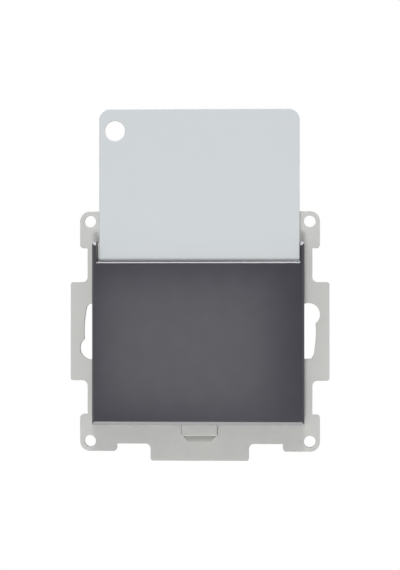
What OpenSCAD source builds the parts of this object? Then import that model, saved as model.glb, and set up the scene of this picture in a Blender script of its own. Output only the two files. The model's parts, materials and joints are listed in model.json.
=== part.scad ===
// Hotel key card switch: flush-mounted changeover push switch worked by a key card.
// Millimetres. X to the right, -Y towards the viewer, Z up.
// Origin: middle of the mounting plate, on the face that lies on the wall.
// Drawn with the card fully in, as in use.

/* [Mounting plate] */
// Width and height over the four edge tabs
plate_span = 71; // [68:0.5:80]
// Thickness of the plate
plate_t = 2; // [1.6:0.1:3]
// Pitch of the corner screw holes and of the box screws
hole_pitch = 60.3; // [58:0.1:63]
// Diameter of the corner screw holes
hole_d = 3.2; // [2.4:0.1:4]
// Rim of each corner lug round its hole centre
lug_rim = 2.75; // [2.2:0.05:3.4]
// Length of each corner lug along the edge
lug_len = 10.1; // [8:0.1:13]
// Depth of the plate's waist behind the lugs
waist_drop = 2.05; // [1:0.05:3]
// Width of each edge tab
tab_w = 27; // [20:0.5:32]
// Fillet between waist and edge tab
tab_fillet = 1.4; // [0.4:0.1:2]
// Corner radius of the edge tabs
tab_corner = 0.7; // [0.3:0.1:1.5]
// Corner radius at the ends of the lugs
lug_corner = 0.9; // [0.4:0.1:1.5]
// Width of the curved part of the keyhole slots
key_slot_w = 3.4; // [3:0.1:4.4]
// Diameter of the round end of the keyhole slots
key_head_d = 6.3; // [5.6:0.1:7]
// Angle of the keyhole's round end from the horizontal
key_head_deg = 8.8; // [8:0.1:11]
// Distance of the keyhole's narrow end from the middle
key_end = 7.5; // [5:0.1:9]
// Bevel at the narrow end of the keyhole slots
key_corner = 0.65; // [0.3:0.05:1]
// Width of the frame clips
clip_w = 10; // [6:0.5:14]
// Height of the frame clips in the plane of the plate
clip_len = 3; // [2:0.1:4]
// Height of the frame clips above the plate
clip_h = 2.8; // [2:0.1:4]
// Thickness of the stem of a frame clip
clip_stem = 1.6; // [1:0.1:1.8]
// Room for the frame's edge under a clip
clip_room = 1.6; // [0.8:0.1:1.8]
// Gap between the lower frame clip and the cover
clip_gap = 0.5; // [0.4:0.1:2]
// Depth of the relief in the plate under each clip
relief = 1.2; // [0.6:0.1:1.4]
// Depth of the relief halfway up its slope
relief_mid = 0.4; // [0.3:0.05:0.6]
// Length of the relief's slope beyond the clip
relief_len = 1.7; // [1:0.1:2.5]
// Distance of the relief's ends from the ends of the clip
relief_in = 0.4; // [0.2:0.1:1]
// Gap round the plunger's head in the plate
head_gap = 0.7; // [0.4:0.1:1]

/* [Key card] */
// Width of the card
card_w = 54; // [52:0.1:56]
// Length of the card
card_len = 84.2; // [80:0.1:90]
// Thickness of the card
card_t = 0.76; // [0.5:0.02:1]
// Corner radius of the card
card_r = 3; // [1:0.1:5]
// Diameter of the punched hole
card_hole_d = 5.4; // [3:0.1:7]
// Distance of the hole from the card's left edge
card_hole_x = 4.25; // [3.6:0.05:20]
// Distance of the hole from the card's top edge
card_hole_z = 5.85; // [4:0.05:12]
// Distance of the card from the slot's middle, to the right
card_shift = 0.25; // [-0.3:0.05:0.3]

/* [Front cover] */
// Height of the cover
cover_h = 49.3; // [48:0.1:54]
// Distance of the cover's middle below the plate's middle
cover_drop = 0.3; // [0:0.05:1]
// Thickness of the front wall
front_t = 2; // [1.6:0.1:3]
// Thickness of the side cheeks
cheek_t = 1.1; // [0.9:0.1:2]
// Thickness of the wall that the card stands on
floor_t = 0.8; // [0.6:0.1:1.5]
// Depth of the card notch below the cheek tops
notch_drop = 5.1; // [4:0.05:12]
// Height of the plain edge above the notch's front bevel
notch_step = 0.3; // [0.1:0.05:0.8]
// Bevel along the bottom of the face
bevel_bottom = 1.0; // [0.3:0.05:1.5]
// Bevel on the cheek tops
bevel_top = 1.0; // [0.3:0.05:1.5]
// Bevel along the sides of the face
bevel_side = 0.6; // [0.2:0.05:0.9]
// Bevels along the notch, front and back
bevel_notch = 0.4; // [0.2:0.05:0.8]
// Height of the snap hooks along the cheeks
hook_len = 6; // [4:0.5:8]
// Distance of the snap hooks from the middle
hook_z = 16; // [14:0.5:19]

/* [Card guide] */
// Thickness of the wall behind the card
guide_t = 1.2; // [1:0.1:1.6]
// Thickness of the guide's edge ribs and roof
rib_t = 1.2; // [0.8:0.1:1.6]
// Depth of the room for the mechanism
room = 6.4; // [6:0.1:9]
// Diameter of the guide's posts
post_d = 4.4; // [3.6:0.1:5]
// Diameter of the locating pegs
peg_d = 2; // [1.5:0.1:2.6]
// Distance of the posts from the middle, across
post_x = 22.4; // [21:0.1:23]
// Distance of the posts from the middle, upwards
post_z = 19; // [17:0.5:20]
// Width of the window for the lever's nose
window_w = 9.4; // [8.8:0.1:12]
// Height of the window for the lever's nose
window_h = 8.8; // [8.6:0.1:10]

/* [Sensing lever] */
// Diameter of the lever's pivot pin
pin_d = 1.6; // [1.2:0.1:2]
// Diameter of the lever's hub
hub_d = 4; // [3.4:0.1:4.6]
// Width of the lever
lever_w = 14; // [11:0.5:16]
// Thickness of the lever's arm
lever_t = 1.4; // [1:0.1:1.8]
// Width of the nose that feels the card
nose_w = 8; // [5:0.5:8.4]
// Height of the flat at the tip of the nose
nose_flat = 0.7; // [0.4:0.1:1]
// Backward lean of the arm with the card in, in degrees
lever_lean = 4.2; // [3:0.1:5]
// Thickness of the ears that carry the pivot pin
ear_t = 1.8; // [1.2:0.1:2.5]
// Height of the pivot above the underside of the cover
pivot_up = 4.45; // [4:0.05:5]
// Height of the nose above the end of the card
nose_up = 10.1; // [8:0.1:12]
// Height of the round pad on the arm
pad_h = 0.5; // [0.3:0.1:0.7]
// Diameter of the round pad on the arm
pad_d = 5.6; // [4:0.1:7]
// Thickness of the ribs along the arm
arm_rib_t = 1; // [0.7:0.1:1.4]
// Height of the ribs along the arm
arm_rib_h = 0.8; // [0.5:0.1:1]

/* [Plunger] */
// Diameter of the plunger's head
head_d = 7.6; // [6:0.1:8]
// Thickness of the plunger's head
head_t = 1.9; // [1.4:0.1:2.4]
// Diameter of the plunger's stem
stem_d = 3.6; // [3:0.1:4.4]
// Travel of the plunger
plunger_travel = 2.45; // [2:0.05:2.5]
// Length of the stem beyond the retaining clip
stem_tail = 2.25; // [2:0.05:2.5]
// Length of the return spring with the card in
spring_len = 4.95; // [4.6:0.05:7]
// Wire of the return spring
spring_wire = 0.5; // [0.3:0.05:0.55]
// Mean diameter of the return spring
spring_d = 6; // [5.2:0.1:6.4]
// Turns of the return spring
spring_turns = 4; // [3:0.5:4]
// Diameter of the retaining clip
ring_d = 7; // [6:0.1:8]
// Thickness of the retaining clip
ring_t = 0.5; // [0.3:0.05:0.8]

/* [Switch base] */
// Width of the switch base
base_w = 35; // [34:0.5:40]
// Height of the switch base
base_h = 44; // [43:0.5:48]
// Corner radius of the switch base
base_r = 4; // [2:0.5:4.5]
// Bevel round the back of the switch base
base_bevel = 1.2; // [0.4:0.1:1.6]
// Depth by which the base sinks into the plate
base_sink = 1; // [0.6:0.1:1.2]
// Width of the contact chamber
chamber_w = 26; // [25:0.5:27]
// Top of the contact chamber above the middle
chamber_top = 13; // [12.5:0.1:13.2]
// Bottom of the contact chamber below the middle
chamber_bottom = 15; // [14.8:0.1:15.2]
// Ledge that the lid lies on
ledge = 1.5; // [1:0.1:1.8]
// Thickness of the lid
lid_t = 1.9; // [1.4:0.1:2.4]
// Corner radius of the lid
lid_r = 1; // [0.6:0.1:1.4]
// Thickness of the spring well in the lid
well_t = 1.2; // [0.8:0.1:1.6]
// Diameter of the base screws
screw_d = 2.4; // [2:0.1:2.6]
// Length of the base screws under the head
screw_len = 10; // [7:0.5:11]
// Diameter of the base screw heads
screw_head_d = 4.6; // [4:0.1:5]
// Height of the base screw heads
screw_head_h = 1.6; // [1:0.1:2]
// Width of the slot in the base screw heads
screw_slot = 0.7; // [0.5:0.1:1]
// Distance of the base screws from the middle, across
screw_x = 14.2; // [13.6:0.1:15]
// Distance of the base screws from the middle, upwards
screw_z = 18.9; // [18.4:0.1:19.4]

/* [Contacts and terminals] */
// Thickness of the contact blade
blade_t = 0.6; // [0.4:0.05:0.8]
// Width of the contact blade
blade_w = 5; // [4:0.1:6]
// Pivot of the blade below the middle
blade_drop = 12.6; // [12.2:0.1:13]
// Height of the contacts above the middle
contact_z = 9; // [8.5:0.1:9.5]
// Backward lean of the blade with the card in, in degrees
blade_lean = 5.3; // [4.5:0.1:5.5]
// Diameter of the blade's pivot pin
blade_pin_d = 1.2; // [0.8:0.1:1.4]
// Diameter of the rolled eye of the blade
eye_d = 2.8; // [2.4:0.1:3.2]
// Width of the eye beyond each side of the blade
eye_side = 0.4; // [0.2:0.1:0.6]
// Diameter of the contact rivets
rivet_d = 3; // [2:0.1:3.6]
// Height of a contact rivet's head
rivet_h = 0.8; // [0.5:0.05:1]
// Diameter of a contact rivet's shank
rivet_shank_d = 1.4; // [1:0.1:1.6]
// Rim of the brackets round the rivet heads
rivet_rim = 0.5; // [0.3:0.1:0.7]
// Thickness of the terminal brackets
bracket_t = 0.8; // [0.6:0.05:1]
// Width of the terminal tabs
tag_w = 7; // [6.4:0.1:7.4]
// Distance of the upper terminals from the middle
term_x = 8; // [7.8:0.1:8.4]
// Distance of the upper terminals from the top of the base
term_top = 5; // [4.8:0.1:5.2]
// Distance of the lower terminal from the bottom of the base
term_foot = 4.4; // [4.2:0.1:4.6]
// Diameter of the terminal screws
term_screw_d = 2.9; // [2.5:0.1:3.5]
// Diameter of the terminal screw heads
term_head_d = 5.4; // [4.6:0.1:5.6]
// Height of the terminal screw heads
term_head_h = 2; // [1.4:0.1:2.6]
// Width of the slot in the terminal screw heads
term_slot = 0.9; // [0.6:0.1:1.2]
// Length of the terminal screws under the head
term_screw_len = 5.6; // [4:0.1:7]
// Thickness of the wire saddles
saddle_t = 1.2; // [0.8:0.1:1.6]
// Height of the wire saddles
saddle_h = 5.6; // [5:0.1:5.8]
// Depth of the screw heads below the back of the base
head_sink = 2.4; // [1:0.1:3]
// Width of the wire entries
entry_w = 6.4; // [5:0.1:6.8]
// Height of the wire entries
entry_h = 2.8; // [2:0.1:3.4]
// Wire of the blade spring
blade_wire = 0.4; // [0.3:0.05:0.45]
// Mean diameter of the blade spring
blade_spring_d = 4; // [3:0.1:4.4]
// Turns of the blade spring
blade_spring_turns = 3; // [2:0.5:3]
// Height of the blade spring below the middle
blade_spring_low = 5.4; // [4.8:0.1:6]

/* [Clearances] */
// Gap between pieces that are fixed to each other
seat = 0.05; // [0.02:0.01:0.1]
// Radial clearance of a pin or stem that turns or slides
run = 0.06; // [0.02:0.01:0.1]
// Radial clearance of a screw, peg or rivet in its hole
slack = 0.1; // [0.05:0.01:0.2]
// Gap between moving pieces that press on each other
touch = 0.15; // [0.1:0.01:0.25]
// Gap on each side of the card's edges
card_side = 0.4; // [0.2:0.05:0.8]
// Gap in front of and behind the card
card_play = 0.32; // [0.15:0.01:0.5]
// Gap round the guide and the lid
fit = 0.15; // [0.1:0.01:0.3]
// Gap between the lever's nose and the card
nose_gap = 0.22; // [0.15:0.01:0.3]

/* [Hidden] */
$fn = 48;
// Overlap of shapes that grow together
weld = 0.3;
// How far cuts run past the faces that they open
cut = 1;

// Places in the plane of the plate
lug_half = hole_pitch/2 + lug_rim;
waist_half = lug_half - waist_drop;
notch_half = card_w/2 + card_side;
cover_half = notch_half + cheek_t;
cover_top = cover_h/2 - cover_drop;
cover_low = -cover_h/2 - cover_drop;
notch_z = cover_top - notch_drop;
card_z = cover_low + floor_t + seat;
clip_z = clip_gap - cover_low;

// Places in depth, front to back
y_plate = -plate_t;
y_guide_back = y_plate - room;
y_guide = y_guide_back - guide_t;
y_wall = y_guide - card_t - 2*card_play;
y_face = y_wall - front_t;
y_card_back = y_guide - card_play;

// Sensing lever
lever_y = y_guide_back + room/2;
lever_z = cover_low + pivot_up;
nose_z = card_z + nose_up;
nose_tip = y_card_back + nose_gap;
pad_arm = -lever_z/cos(lever_lean);
y_pad = lever_y + (lever_t/2 + pad_h)/cos(lever_lean) - lever_z*tan(lever_lean);

// Plunger, lid and spring
y_head = y_pad + touch;
y_head_back = y_head + head_t;
y_lid = -base_sink + seat;
y_well = y_head_back + spring_len;
y_well_back = y_well + well_t;
well_bore_d = head_d + 4*fit;
plunger_hole_d = head_d + 2*head_gap;
y_ring = y_well_back + plunger_travel + fit;
y_stem_end = y_ring + ring_t + stem_tail;
groove_d = stem_d*0.7;

// Contact blade and contacts
blade_y = y_stem_end + touch + blade_t/2 - blade_drop*tan(blade_lean);
tip_arm = (contact_z + blade_drop)/cos(blade_lean);
rivet_reach = blade_t/2 + rivet_h;
y_make = blade_y + tip_arm*sin(blade_lean) + rivet_reach + touch;
y_make_plate = y_make + rivet_h;
y_break = blade_y - tip_arm*sin(blade_lean) - rivet_reach - touch;
y_break_plate = y_break - rivet_h;

// Terminals and back of the base
y_tag = y_make_plate;
y_tag_back = y_tag + bracket_t;
y_saddle = y_tag_back + seat;
y_term_head = y_saddle + saddle_t + seat;
y_back = y_term_head + term_head_h + head_sink;
y_chamber = y_tag_back + seat;
eye_w = blade_w + 2*eye_side;
ear_x = eye_w/2 + touch;
term_z = base_h/2 - term_top;
terminals = [[-term_x, term_z, 1], [term_x, term_z, 1], [0, term_foot - base_h/2, -1]];

// A solid from y0 to y1 with its outline drawn across X and Z
module xz(y0, y1) {
    translate([0, y1, 0])
        rotate([90, 0, 0])
            linear_extrude(y1 - y0)
                children();
}

// A solid from x0 to x1 with its outline drawn across Y and Z
module yz(x0, x1) {
    translate([x0, 0, 0])
        rotate([90, 0, 90])
            linear_extrude(x1 - x0)
                children();
}

// A round bar or hole from y0 to y1 at x, z
module bar_y(d, y0, y1, x = 0, z = 0) {
    translate([x, y0, z])
        rotate([-90, 0, 0])
            cylinder(d = d, h = y1 - y0);
}

// A round bar or hole along X, centred on the middle
module bar_x(d, l, y, z) {
    translate([-l/2, y, z])
        rotate([0, 90, 0])
            cylinder(d = d, h = l);
}

// A box between two corners
module span(a, b) {
    translate(a)
        cube(b - a);
}

// A rectangle with round corners between two corners
module round_rect(a, b, r) {
    translate([a[0] + r, a[1]])
        square([b[0] - a[0] - 2*r, b[1] - a[1]]);
    translate([a[0], a[1] + r])
        square([b[0] - a[0], b[1] - a[1] - 2*r]);
    for (x = [a[0] + r, b[0] - r], z = [a[1] + r, b[1] - r])
        translate([x, z])
            circle(r);
}

// Fillet in an inner corner, filling towards +X +Z
module fillet(r) {
    difference() {
        square(r);
        translate([r, r])
            circle(r);
    }
}

// Mounting plate

module lug_outline() {
    translate([lug_half, lug_half])
        difference() {
            round_rect([-lug_len, -lug_len], [0, 0], lug_corner);
            difference() {
                translate([-lug_rim, -lug_rim])
                    square(lug_rim + cut);
                translate([-lug_rim, -lug_rim])
                    circle(lug_rim);
            }
        }
}

module tab_outline() {
    round_rect([-tab_w/2, 0], [tab_w/2, plate_span/2], tab_corner);
    for (m = [0, 1])
        mirror([m, 0])
            translate([tab_w/2, waist_half])
                fillet(tab_fillet);
}

module plate_outline() {
    translate([-waist_half, -waist_half])
        square(2*waist_half);
    for (a = [0 : 90 : 270])
        rotate(a) {
            lug_outline();
            tab_outline();
        }
}

// A point at a distance and an angle from the middle of the plate
function polar(reach, deg) = reach*[cos(deg), sin(deg)];

// One keyhole slot, on the right: round end above, level narrow end below with a bevelled corner
module keyhole() {
    r = hole_pitch/2;
    w = key_slot_w/2;
    slope = [key_corner, 1.5*key_corner];
    corner = [sqrt(pow(r + w, 2) - pow(key_end - slope[1], 2)), -key_end] - [slope[0], 0];
    translate(polar(r, key_head_deg))
        circle(d = key_head_d);
    intersection() {
        difference() {
            circle(r + w, $fn = 96);
            circle(r - w, $fn = 96);
        }
        polygon([polar(r/2, key_head_deg),
            polar(2*r, key_head_deg),
            corner + 3*slope,
            corner,
            [r/2, -key_end]]);
    }
}

// Catch for the cover frame on the plate's front face, with room under its lip
module frame_clip() {
    yz(-clip_w/2, clip_w/2)
        polygon([[y_plate + weld, -clip_z],
            [y_plate - clip_h, -clip_z],
            [y_plate - clip_h, -clip_z - clip_len],
            [y_plate - clip_room, -clip_z - clip_len],
            [y_plate - clip_room, -clip_z - clip_stem],
            [y_plate + weld, -clip_z - clip_stem]]);
}

// Relief in the plate under the lip of a catch, rising and narrowing outwards
module clip_relief() {
    wide = clip_w/2 - relief_in;
    edge = -clip_z - clip_len;
    intersection() {
        yz(-wide, wide)
            polygon([[y_plate - cut, -clip_z - clip_stem],
                [y_plate + relief, -clip_z - clip_stem],
                [y_plate + relief, edge],
                [y_plate + relief_mid, edge - relief_len/2],
                [y_plate, edge - relief_len],
                [y_plate - cut, edge - relief_len]]);
        xz(y_plate - cut, 0)
            polygon([[-wide, -clip_z], [wide, -clip_z], [wide, edge],
                [wide - relief_len, edge - relief_len],
                [relief_len - wide, edge - relief_len], [-wide, edge]]);
    }
}

module mounting_plate() {
    color("lightgrey") {
        difference() {
            xz(y_plate, 0)
                difference() {
                    plate_outline();
                    for (x = [-1, 1], z = [-1, 1])
                        translate([x, z]*hole_pitch/2)
                            circle(d = hole_d);
                    for (a = [0, 180])
                        rotate(a)
                            keyhole();
                    circle(d = plunger_hole_d);
                    for (x = [-screw_x, screw_x], z = [-screw_z, screw_z])
                        translate([x, z])
                            circle(d = screw_d + 2*slack);
                    for (x = [-post_x, post_x], z = [-post_z, post_z])
                        translate([x, z])
                            circle(d = peg_d + 2*slack);
                    for (m = [0, 1], z = [-hook_z, hook_z])
                        mirror([m, 0])
                            translate([notch_half - fit, z - hook_len/2 - fit])
                                square([cheek_t + 2*fit, hook_len + 2*fit]);
                }
            // Bed for the switch base
            xz(-base_sink, cut)
                round_rect([-base_w/2 - fit, -base_h/2 - fit],
                    [base_w/2 + fit, base_h/2 + fit], base_r + fit);
            // Undercuts for the cover's snap hooks
            for (m = [0, 1], z = [-hook_z, hook_z])
                mirror([m, 0, 0])
                    span([notch_half - fit - cheek_t, -plate_t/2, z - hook_len/2 - fit],
                        [notch_half, cut, z + hook_len/2 + fit]);
            for (a = [0, 180])
                rotate([0, a, 0])
                    clip_relief();
        }
        frame_clip();
        rotate([0, 180, 0])
            frame_clip();
    }
}

// Front cover

module front_cover() {
    color("dimgrey") {
        difference() {
            intersection() {
                yz(-cover_half, cover_half)
                    polygon([[y_face, cover_low + bevel_bottom],
                        [y_face, cover_top - bevel_top],
                        [y_face + bevel_top, cover_top],
                        [y_plate - seat, cover_top],
                        [y_plate - seat, cover_low],
                        [y_face + bevel_bottom, cover_low]]);
                translate([0, 0, -cover_h])
                    linear_extrude(2*cover_h)
                        polygon([[-cover_half, y_plate],
                            [-cover_half, y_face + bevel_side],
                            [-cover_half + bevel_side, y_face],
                            [cover_half - bevel_side, y_face],
                            [cover_half, y_face + bevel_side],
                            [cover_half, y_plate]]);
            }
            // Room for card and guide, open at the top and the back
            span([-notch_half, y_wall, cover_low + floor_t],
                [notch_half, cut, cover_top + cut]);
            // Card notch with its bevels, the front one a step lower
            yz(-notch_half, notch_half)
                polygon([[y_face - cut, notch_z - notch_step - bevel_notch - cut],
                    [y_face + bevel_notch, notch_z - notch_step],
                    [y_face + bevel_notch, notch_z],
                    [y_wall - bevel_notch, notch_z],
                    [y_wall + cut, notch_z - bevel_notch - cut],
                    [y_wall + cut, cover_top + cut],
                    [y_face - cut, cover_top + cut]]);
        }
        // Snap hooks
        for (m = [0, 1], z = [-hook_z, hook_z])
            mirror([m, 0, 0])
                translate([0, 0, z - hook_len/2])
                    linear_extrude(hook_len)
                        polygon([[cover_half, y_plate - seat - weld],
                            [notch_half, y_plate - seat - weld],
                            [notch_half, -plate_t/2 + seat],
                            [notch_half - cheek_t/2, -plate_t/2 + seat],
                            [notch_half, -plate_t/4],
                            [notch_half + cheek_t/2, -seat],
                            [cover_half, -seat]]);
    }
}

// Card guide behind the card

module guide_ears() {
    for (s = [-1, 1])
        translate([s*(lever_w/2 + fit + ear_t/2), 0, 0])
            yz(-ear_t/2, ear_t/2)
                union() {
                    translate([lever_y, lever_z])
                        circle(hub_d/2);
                    translate([y_guide_back - weld, lever_z - hub_d/2])
                        square([lever_y - y_guide_back + weld, hub_d]);
                }
}

module card_guide() {
    half = notch_half - fit;
    low = cover_low + floor_t + seat;
    top = cover_top - fit;
    color("darkslategrey")
        difference() {
            union() {
                yz(-half, half)
                    polygon([[y_guide, low],
                        [y_guide, top - rib_t/2],
                        [y_guide + rib_t/2, top],
                        [y_plate - seat, top],
                        [y_plate - seat, top - rib_t],
                        [y_guide_back, top - rib_t],
                        [y_guide_back, low]]);
                for (s = [-1, 1])
                    translate([s*(half - rib_t/2), 0, 0])
                        span([-rib_t/2, y_guide_back - weld, low],
                            [rib_t/2, y_plate - seat, top - weld]);
                for (x = [-post_x, post_x], z = [-post_z, post_z]) {
                    bar_y(post_d, y_guide_back - weld, y_plate - seat, x, z);
                    bar_y(peg_d, y_guide_back, -plate_t/5, x, z);
                }
                guide_ears();
            }
            // Window for the nose
            span([-window_w/2, y_guide - cut, nose_z - window_h/2],
                [window_w/2, y_guide_back + cut, nose_z + window_h/2]);
            bar_x(pin_d + 2*slack, 4*lever_w, lever_y, lever_z);
        }
}

// Key card

module key_card() {
    color("gainsboro")
        translate([card_shift, 0, card_z])
            xz(y_card_back - card_t, y_card_back)
                difference() {
                    round_rect([-card_w/2, 0], [card_w/2, card_len], card_r);
                    translate([card_hole_x - card_w/2, card_len - card_hole_z])
                        circle(d = card_hole_d);
                }
}

// Sensing lever

module lever_arm() {
    translate([0, lever_y, lever_z])
        rotate([-lever_lean, 0, 0]) {
            span([-lever_w/2, -lever_t/2, 0], [lever_w/2, lever_t/2, pad_arm]);
            bar_y(lever_w, -lever_t/2, lever_t/2, 0, pad_arm);
            bar_y(pad_d, 0, lever_t/2 + pad_h, 0, pad_arm);
            for (s = [-1, 1])
                translate([s*(lever_w/2 - arm_rib_t/2), 0, 0])
                    yz(-arm_rib_t/2, arm_rib_t/2)
                        polygon([[0, 0], [-lever_t/2 - arm_rib_h, hub_d/2],
                            [-lever_t/2 - arm_rib_h, pad_arm*0.7], [0, pad_arm*0.9]]);
        }
}

module sensing_lever() {
    rise = lever_y - nose_tip;
    color("ivory")
        difference() {
            union() {
                lever_arm();
                bar_x(hub_d, lever_w, lever_y, lever_z);
                yz(-nose_w/2, nose_w/2)
                    polygon([[nose_tip, nose_z - nose_flat/2],
                        [nose_tip, nose_z + nose_flat/2],
                        [lever_y, nose_z + nose_flat/2 + rise*0.9],
                        [lever_y, nose_z - nose_flat/2 - rise*0.55]]);
            }
            bar_x(pin_d + 2*run, 2*lever_w, lever_y, lever_z);
        }
}

module lever_pin() {
    color("silver")
        bar_x(pin_d, lever_w + 2*fit + 2*ear_t, lever_y, lever_z);
}

// Plunger with its spring and clip

module plunger() {
    dome = head_d*1.2;
    tip = stem_d*0.7;
    stem = y_stem_end - y_head_back + weld;
    color("white")
        difference() {
            union() {
                translate([0, y_head, 0])
                    rotate([-90, 0, 0])
                        intersection() {
                            cylinder(d = head_d, h = head_t);
                            translate([0, 0, dome])
                                sphere(dome, $fn = 96);
                        }
                translate([0, y_head_back - weld, 0])
                    rotate([-90, 0, 0])
                        intersection() {
                            cylinder(d = stem_d, h = stem);
                            union() {
                                translate([0, 0, stem - tip])
                                    sphere(tip, $fn = 96);
                                translate([0, 0, -cut])
                                    cylinder(r = stem_d, h = stem - tip + cut);
                            }
                        }
            }
            // Groove for the retaining clip
            difference() {
                bar_y(stem_d + cut, y_ring - slack, y_ring + ring_t + slack);
                bar_y(groove_d, y_ring - cut, y_ring + ring_t + cut);
            }
        }
}

module retaining_clip() {
    color("silver")
        difference() {
            bar_y(ring_d, y_ring, y_ring + ring_t);
            bar_y(groove_d + 2*run, y_ring - cut, y_ring + ring_t + cut);
            span([-stem_d*0.3, y_ring - cut, -ring_d], [stem_d*0.3, y_ring + ring_t + cut, 0]);
        }
}

// Points round one ring of a wire: centre p, along the coil at angle a
function ring_pts(p, a, r) =
    [for (k = [0 : 5])
        p + r*[cos(60*k)*cos(a), cos(60*k)*sin(a), sin(60*k)]];

// Middle line of a coil that climbs along Z, with a straight lead at each end
function coil_line(d, turns, len, wire) =
    let (n = round(turns*8), h = len - wire)
    concat(
        [[d/2, -wire, wire/2]],
        [for (i = [0 : n]) [d/2*cos(45*i), d/2*sin(45*i), wire/2 + h*i/n]],
        [[d/2*cos(45*n) - wire*sin(45*n), d/2*sin(45*n) + wire*cos(45*n), wire/2 + h]]);

// Angle of each ring of the coil
function coil_turn(turns) =
    let (n = round(turns*8))
    concat([0], [for (i = [0 : n]) 45*i], [45*n]);

// Least gap between turns of the wire, measured on the middle line
function coil_gap(line, wire) =
    min([for (i = [0 : len(line) - 1], j = [0 : len(line) - 1])
        if (j - i > 4) norm(line[j] - line[i]) - wire]);

// One unbroken helical wire along Z
module coil(d, turns, len, wire) {
    line = coil_line(d, turns, len, wire);
    turn = coil_turn(turns);
    m = len(line);
    echo(least_gap_mm = coil_gap(line, wire));
    polyhedron(
        points = [for (i = [0 : m - 1]) each ring_pts(line[i], turn[i], wire/2)],
        faces = concat(
            [for (k = [1 : 4]) [0, k + 1, k]],
            [for (k = [1 : 4]) [6*(m - 1), 6*(m - 1) + k, 6*(m - 1) + k + 1]],
            [for (i = [0 : m - 2], k = [0 : 5])
                [6*i + k, 6*i + (k + 1) % 6, 6*(i + 1) + k]],
            [for (i = [0 : m - 2], k = [0 : 5])
                [6*i + (k + 1) % 6, 6*(i + 1) + (k + 1) % 6, 6*(i + 1) + k]]));
}

module plunger_spring() {
    color("silver")
        translate([0, y_head_back + seat, 0])
            rotate([-90, 0, 0])
                coil(spring_d, spring_turns, spring_len - 2*seat, spring_wire);
}

// Switch lid with its spring well

module switch_lid() {
    half = chamber_w/2 + ledge - fit;
    top = chamber_top + ledge - fit;
    low = -chamber_bottom - ledge + fit;
    color("whitesmoke")
        difference() {
            union() {
                xz(y_lid, y_lid + lid_t)
                    round_rect([-half, low], [half, top], lid_r);
                bar_y(well_bore_d + 2*well_t, y_lid + lid_t/2, y_well_back);
            }
            bar_y(well_bore_d, y_lid - cut, y_well);
            bar_y(stem_d + 2*run, y_well - cut, y_well_back + cut);
        }
}

// Switch base

// Pocket for one terminal, open at the back of the base
module terminal_pocket(t) {
    z_out = t[2]*(base_h/2 + cut);
    z_in = t[2] > 0 ? chamber_top - cut : cut - chamber_bottom;
    span([t[0] - tag_w/2 - fit, y_tag - seat, t[1] - saddle_h/2 - fit],
        [t[0] + tag_w/2 + fit, y_back + cut, t[1] + saddle_h/2 + fit]);
    // Way for the tab out of the contact chamber
    span([t[0] - tag_w/2 - fit, y_tag - seat, min(t[1], z_in)],
        [t[0] + tag_w/2 + fit, y_chamber, max(t[1], z_in)]);
    // Wire entry
    span([t[0] - entry_w/2, y_tag_back, min(t[1], z_out)],
        [t[0] + entry_w/2, y_tag_back + entry_h, max(t[1], z_out)]);
    bar_y(term_screw_d + 2*slack, y_term_head - term_screw_len - fit, y_tag, t[0], t[1]);
}

module switch_base() {
    y_ledge = y_lid + lid_t + seat;
    color("gainsboro")
        difference() {
            intersection() {
                xz(-base_sink + seat, y_back)
                    round_rect([-base_w/2, -base_h/2], [base_w/2, base_h/2], base_r);
                yz(-base_w, base_w)
                    polygon([[-base_sink, -base_h/2], [-base_sink, base_h/2],
                        [y_back - base_bevel, base_h/2], [y_back, base_h/2 - base_bevel],
                        [y_back, -base_h/2 + base_bevel], [y_back - base_bevel, -base_h/2]]);
                translate([0, 0, -base_h])
                    linear_extrude(2*base_h)
                        polygon([[-base_w/2, -base_sink], [base_w/2, -base_sink],
                            [base_w/2, y_back - base_bevel], [base_w/2 - base_bevel, y_back],
                            [-base_w/2 + base_bevel, y_back], [-base_w/2, y_back - base_bevel]]);
            }
            xz(-base_sink - cut, y_ledge)
                round_rect([-chamber_w/2 - ledge, -chamber_bottom - ledge],
                    [chamber_w/2 + ledge, chamber_top + ledge], lid_r + fit);
            span([-chamber_w/2, y_ledge - cut, -chamber_bottom],
                [chamber_w/2, y_chamber, chamber_top]);
            for (t = terminals)
                terminal_pocket(t);
            for (x = [-screw_x, screw_x], z = [-screw_z, screw_z])
                bar_y(screw_d + 2*slack, -base_sink - cut, y_plate + screw_len + fit, x, z);
        }
}

module base_screws() {
    color("silver")
        for (x = [-screw_x, screw_x], z = [-screw_z, screw_z])
            difference() {
                union() {
                    bar_y(screw_head_d, y_plate - seat - screw_head_h, y_plate - seat, x, z);
                    bar_y(screw_d, y_plate - seat - weld, y_plate + screw_len, x, z);
                }
                span([x - screw_head_d, y_plate - screw_head_h - cut, z - screw_slot/2],
                    [x + screw_head_d, y_plate - screw_head_h/2, z + screw_slot/2]);
            }
}

// Contact blade, leaning back with the card in

module at_blade() {
    translate([0, blade_y, -blade_drop])
        rotate([-blade_lean, 0, 0])
            children();
}

module contact_blade() {
    color("goldenrod")
        at_blade()
            difference() {
                union() {
                    span([-blade_w/2, -blade_t/2, 0],
                        [blade_w/2, blade_t/2, tip_arm]);
                    bar_y(blade_w, -blade_t/2, blade_t/2, 0, tip_arm);
                    bar_x(eye_d, eye_w, 0, 0);
                }
                bar_x(blade_pin_d + 2*run, 2*eye_w, 0, 0);
                bar_y(rivet_shank_d + 2*slack, -blade_t, blade_t, 0, tip_arm);
            }
}

module blade_contacts() {
    color("silver")
        at_blade() {
            bar_y(rivet_d, -rivet_reach, -blade_t/2 - seat/2, 0, tip_arm);
            bar_y(rivet_d, blade_t/2 + seat/2, rivet_reach, 0, tip_arm);
            bar_y(rivet_shank_d, weld - rivet_reach, rivet_reach - weld, 0, tip_arm);
        }
}

module blade_pin() {
    color("silver")
        bar_x(blade_pin_d, 2*(ear_x + bracket_t), blade_y, -blade_drop);
}

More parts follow.
